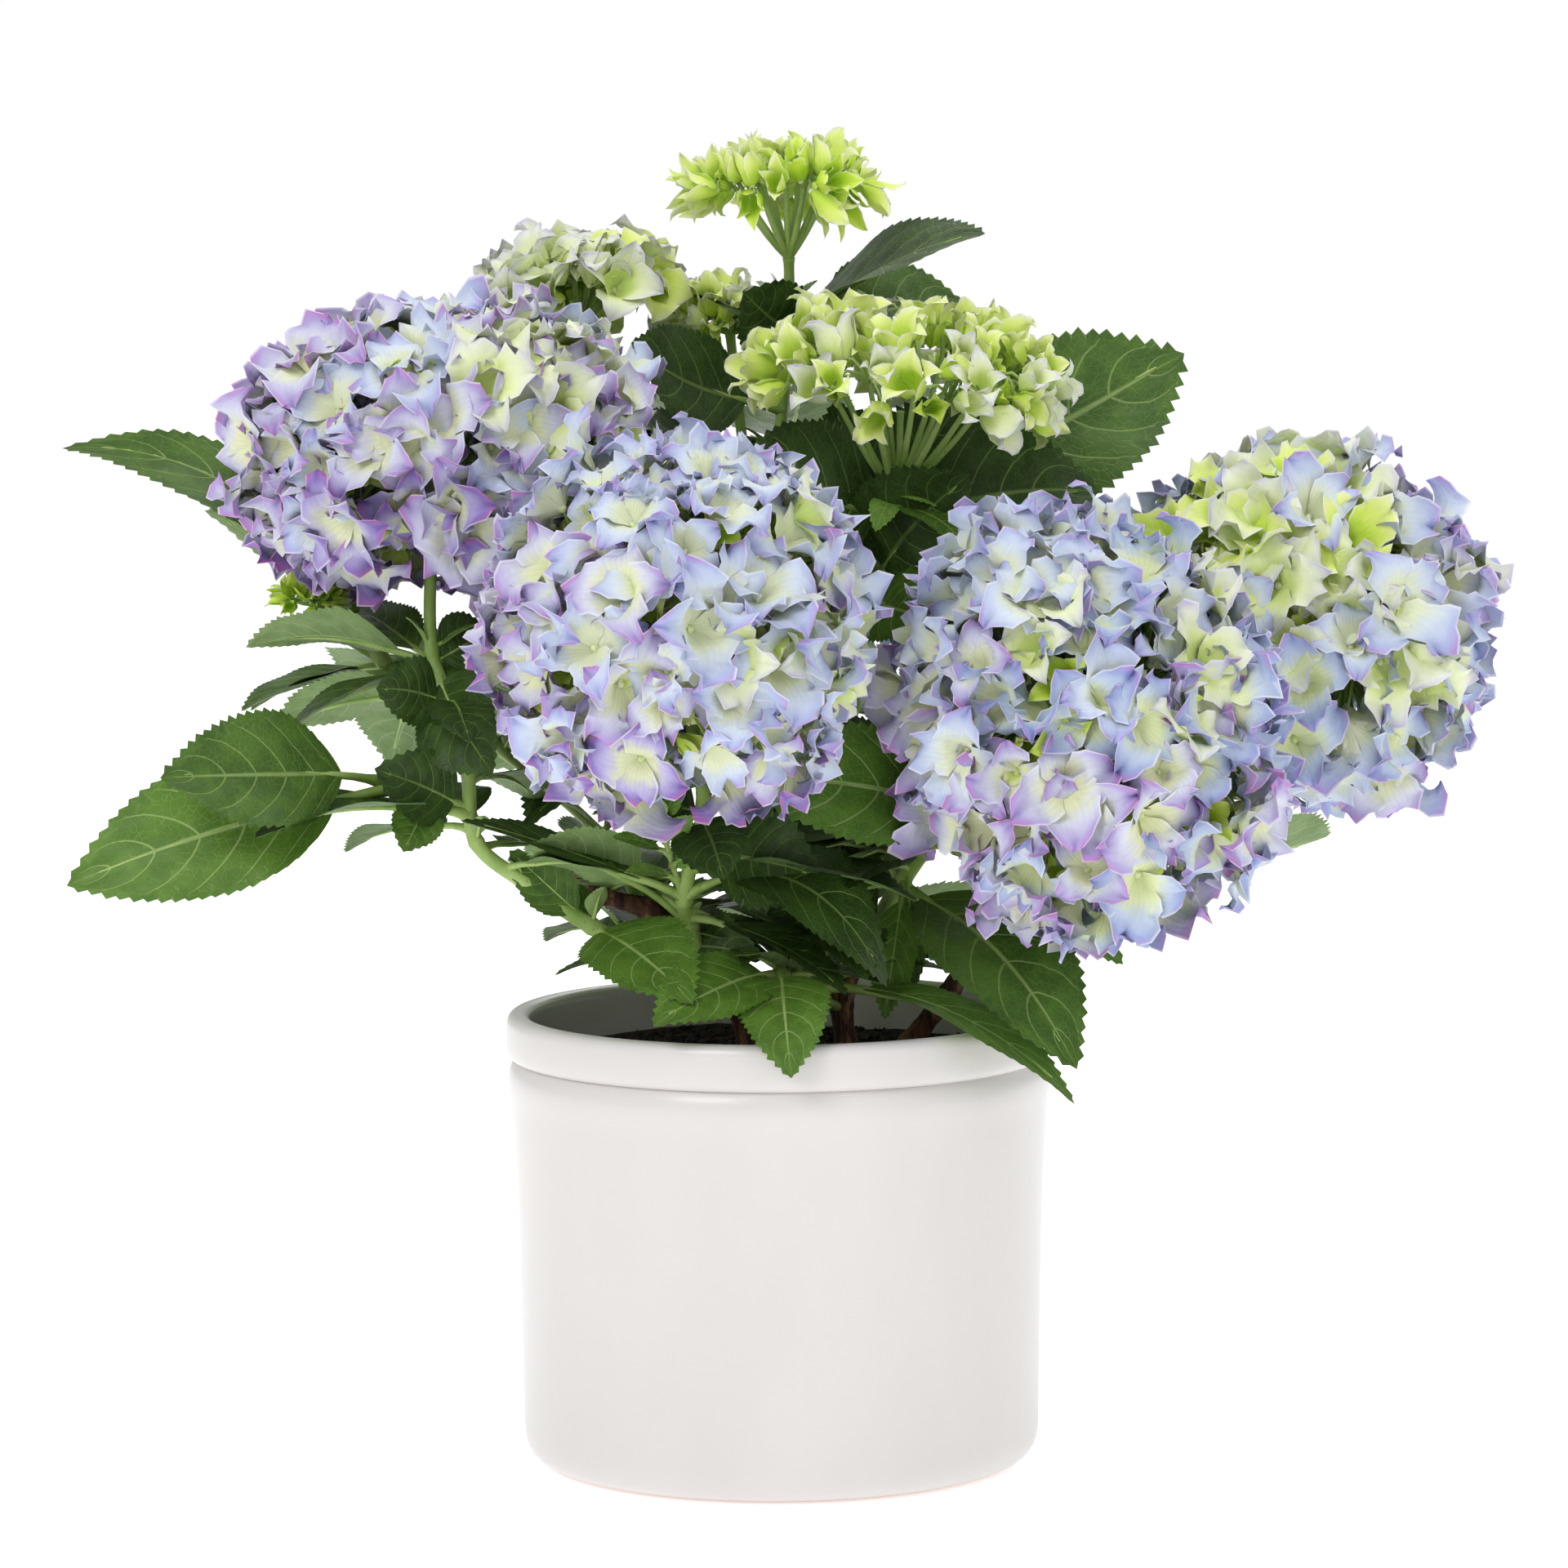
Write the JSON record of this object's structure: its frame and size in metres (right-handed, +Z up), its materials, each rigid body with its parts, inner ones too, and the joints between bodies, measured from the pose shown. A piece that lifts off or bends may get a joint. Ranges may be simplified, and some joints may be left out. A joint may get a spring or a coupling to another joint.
{
  "type": "potted hydrangea shrub",
  "caption": "Mophead hydrangea with round blue, lilac and lime flower heads over broad toothed leaves, in a plain round glazed pot.",
  "frame": {"origin": "centre of the pot's flat underside", "axes": "+Z up, -Y to the plant's front, +X to the right seen from the front"},
  "size_m": [0.5082, 0.327, 0.4594],
  "materials": {
    "pot_glaze": "satin",
    "potting_soil": "matte",
    "old_wood": "matte",
    "green_stem": "satin",
    "leaf": "satin",
    "bloom_blue": "matte",
    "bloom_violet": "matte",
    "bloom_lime": "matte",
    "bloom_bud": "matte"
  },
  "bodies": {
    "root": {"pot": "pot_glaze", "potting_soil": "potting_soil", "wood_left": "old_wood", "wood_centre": "old_wood", "wood_right": "old_wood", "wood_far_right": "old_wood", "wood_back": "old_wood", "bough_left": "green_stem", "bough_left_back": "green_stem", "bough_centre": "green_stem", "bough_right": "green_stem", "bough_right_back": "green_stem", "bough_upper_right": "green_stem", "bough_upper_left": "green_stem", "bough_top": "green_stem", "bough_back_left": "green_stem", "bough_back_right": "green_stem", "bough_back_top": "green_stem", "bough_low_left": "green_stem", "bough_low_front": "green_stem", "bough_low_back": "green_stem", "foliage_left": "leaf", "foliage_left_back": "leaf", "foliage_centre": "leaf", "foliage_right": "leaf", "foliage_right_back": "leaf", "foliage_upper_right": "leaf", "foliage_upper_left": "leaf", "foliage_top": "leaf", "foliage_back_left": "leaf", "foliage_back_right": "leaf", "foliage_back_top": "leaf", "foliage_low_left": "leaf", "foliage_low_front": "leaf", "foliage_low_back": "leaf", "bloom_left": "bloom_violet", "bloom_left_back": "bloom_bud", "bloom_centre": "bloom_blue", "bloom_right": "bloom_blue", "bloom_right_back": "bloom_blue", "bloom_upper_right": "bloom_lime", "bloom_upper_left": "bloom_lime", "bloom_top": "bloom_bud", "bloom_back_left": "bloom_blue", "bloom_back_right": "bloom_blue", "bloom_back_top": "bloom_lime"}
  },
  "joints": []
}
